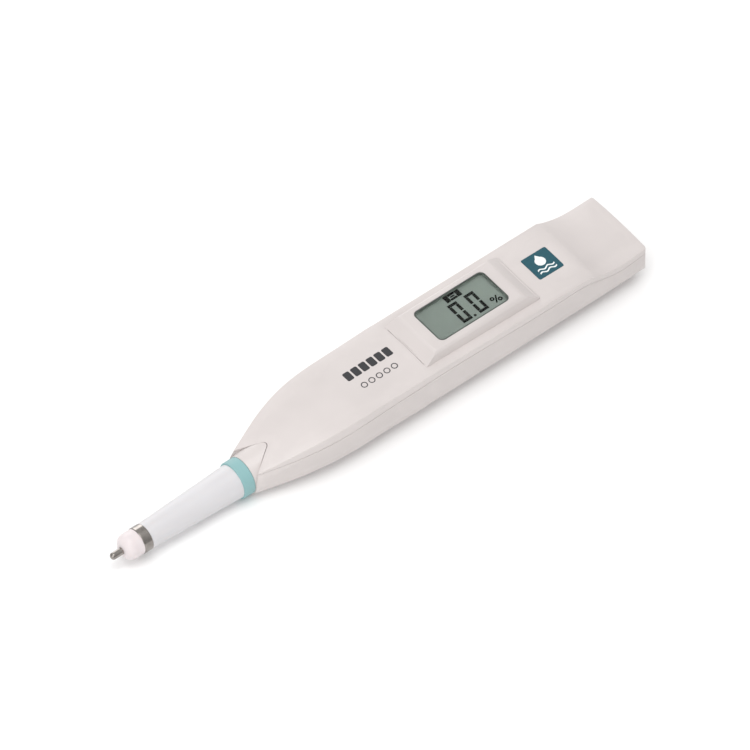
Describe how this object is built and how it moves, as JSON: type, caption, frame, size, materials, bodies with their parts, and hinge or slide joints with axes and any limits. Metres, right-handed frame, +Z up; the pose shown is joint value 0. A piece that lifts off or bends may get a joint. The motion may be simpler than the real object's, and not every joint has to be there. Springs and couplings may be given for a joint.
{
  "type": "pen-type salinity meter",
  "caption": "Handheld pen-shaped liquid tester with a two-electrode probe, raised LCD, underside power button and sliding battery door.",
  "frame": {"origin": "under the middle of the whole length, on the flat underside that the meter rests on", "axes": "+X from the probe's tip to the tail, +Z up out of the display, +Y to the left of +X"},
  "size_m": [0.19, 0.0268, 0.021],
  "materials": {
    "body_plastic": "fine satin moulded",
    "tube_plastic": "smooth, slightly translucent",
    "cap_plastic": "satin",
    "seal_rubber": "soft satin",
    "dark_rubber": "matt",
    "electrode_metal": "polished, slightly worn",
    "contact_metal": "plated spring strip",
    "cell_metal": "satin with a polished rim",
    "screw_metal": "zinc plated",
    "window_plastic": "clear gloss",
    "lcd_glass": "polarised",
    "reflector": "satin film",
    "board_green": "solder mask on glass fibre laminate",
    "chip_plastic": "matt moulded",
    "ceramic": "matt",
    "white_plastic": "satin",
    "core_plastic": "satin",
    "emblem_teal": "printed gloss",
    "label_film": "satin film",
    "thermistor_bead": "resin",
    "lead_red": "satin",
    "lead_black": "satin",
    "lead_white": "satin",
    "lead_yellow": "satin"
  },
  "bodies": {
    "meter": {"top_cover": "body_plastic", "bottom_cover": "body_plastic", "case_gasket": "dark_rubber", "case_screws": "screw_metal", "display_bezel": "body_plastic", "display_window": "window_plastic", "lcd_front_glass": "lcd_glass", "lcd_rear_glass": "lcd_glass", "lcd_reflector": "reflector", "lcd_connector": "dark_rubber", "lcd_holder": "white_plastic", "main_board": "board_green", "board_screws": "screw_metal", "control_chip": "chip_plastic", "amplifier_chip": "chip_plastic", "timing_crystal": "cell_metal", "small_components": "ceramic", "power_switch": "chip_plastic", "button_seal": "dark_rubber", "battery_cell": "cell_metal", "battery_holder": "white_plastic", "positive_contact": "contact_metal", "negative_contact": "contact_metal", "battery_leads": "lead_red", "emblem_plate": "emblem_teal", "blank_label": "label_film", "pin_electrode": "electrode_metal", "tip_insulator": "cap_plastic", "ring_electrode": "electrode_metal", "probe_tube": "tube_plastic", "probe_o_ring": "dark_rubber", "seal_ring": "seal_rubber", "probe_core": "core_plastic", "thermistor": "thermistor_bead", "pin_lead": "lead_yellow", "ring_lead": "lead_white", "thermistor_leads": "lead_black"},
    "button": {"power_button": "emblem_teal"},
    "plunger": {"switch_plunger": "white_plastic"},
    "door": {"battery_door": "body_plastic"}
  },
  "joints": [
    {"name": "button_press", "type": "slide", "parent": "meter", "child": "button", "axis": [0, 0, 1], "range_m": [0, 0.0005], "stiffness_N_per_m": 1200},
    {"name": "plunger_press", "type": "slide", "parent": "meter", "child": "plunger", "axis": [0, 0, 1], "range_m": [0, 0.0005]},
    {"name": "door_slide", "type": "slide", "parent": "meter", "child": "door", "axis": [1, 0, 0], "range_m": [0, 0.04]}
  ],
  "couplings": [
    {"joint": "plunger_press", "follows": "button_press", "ratio": 1}
  ]
}
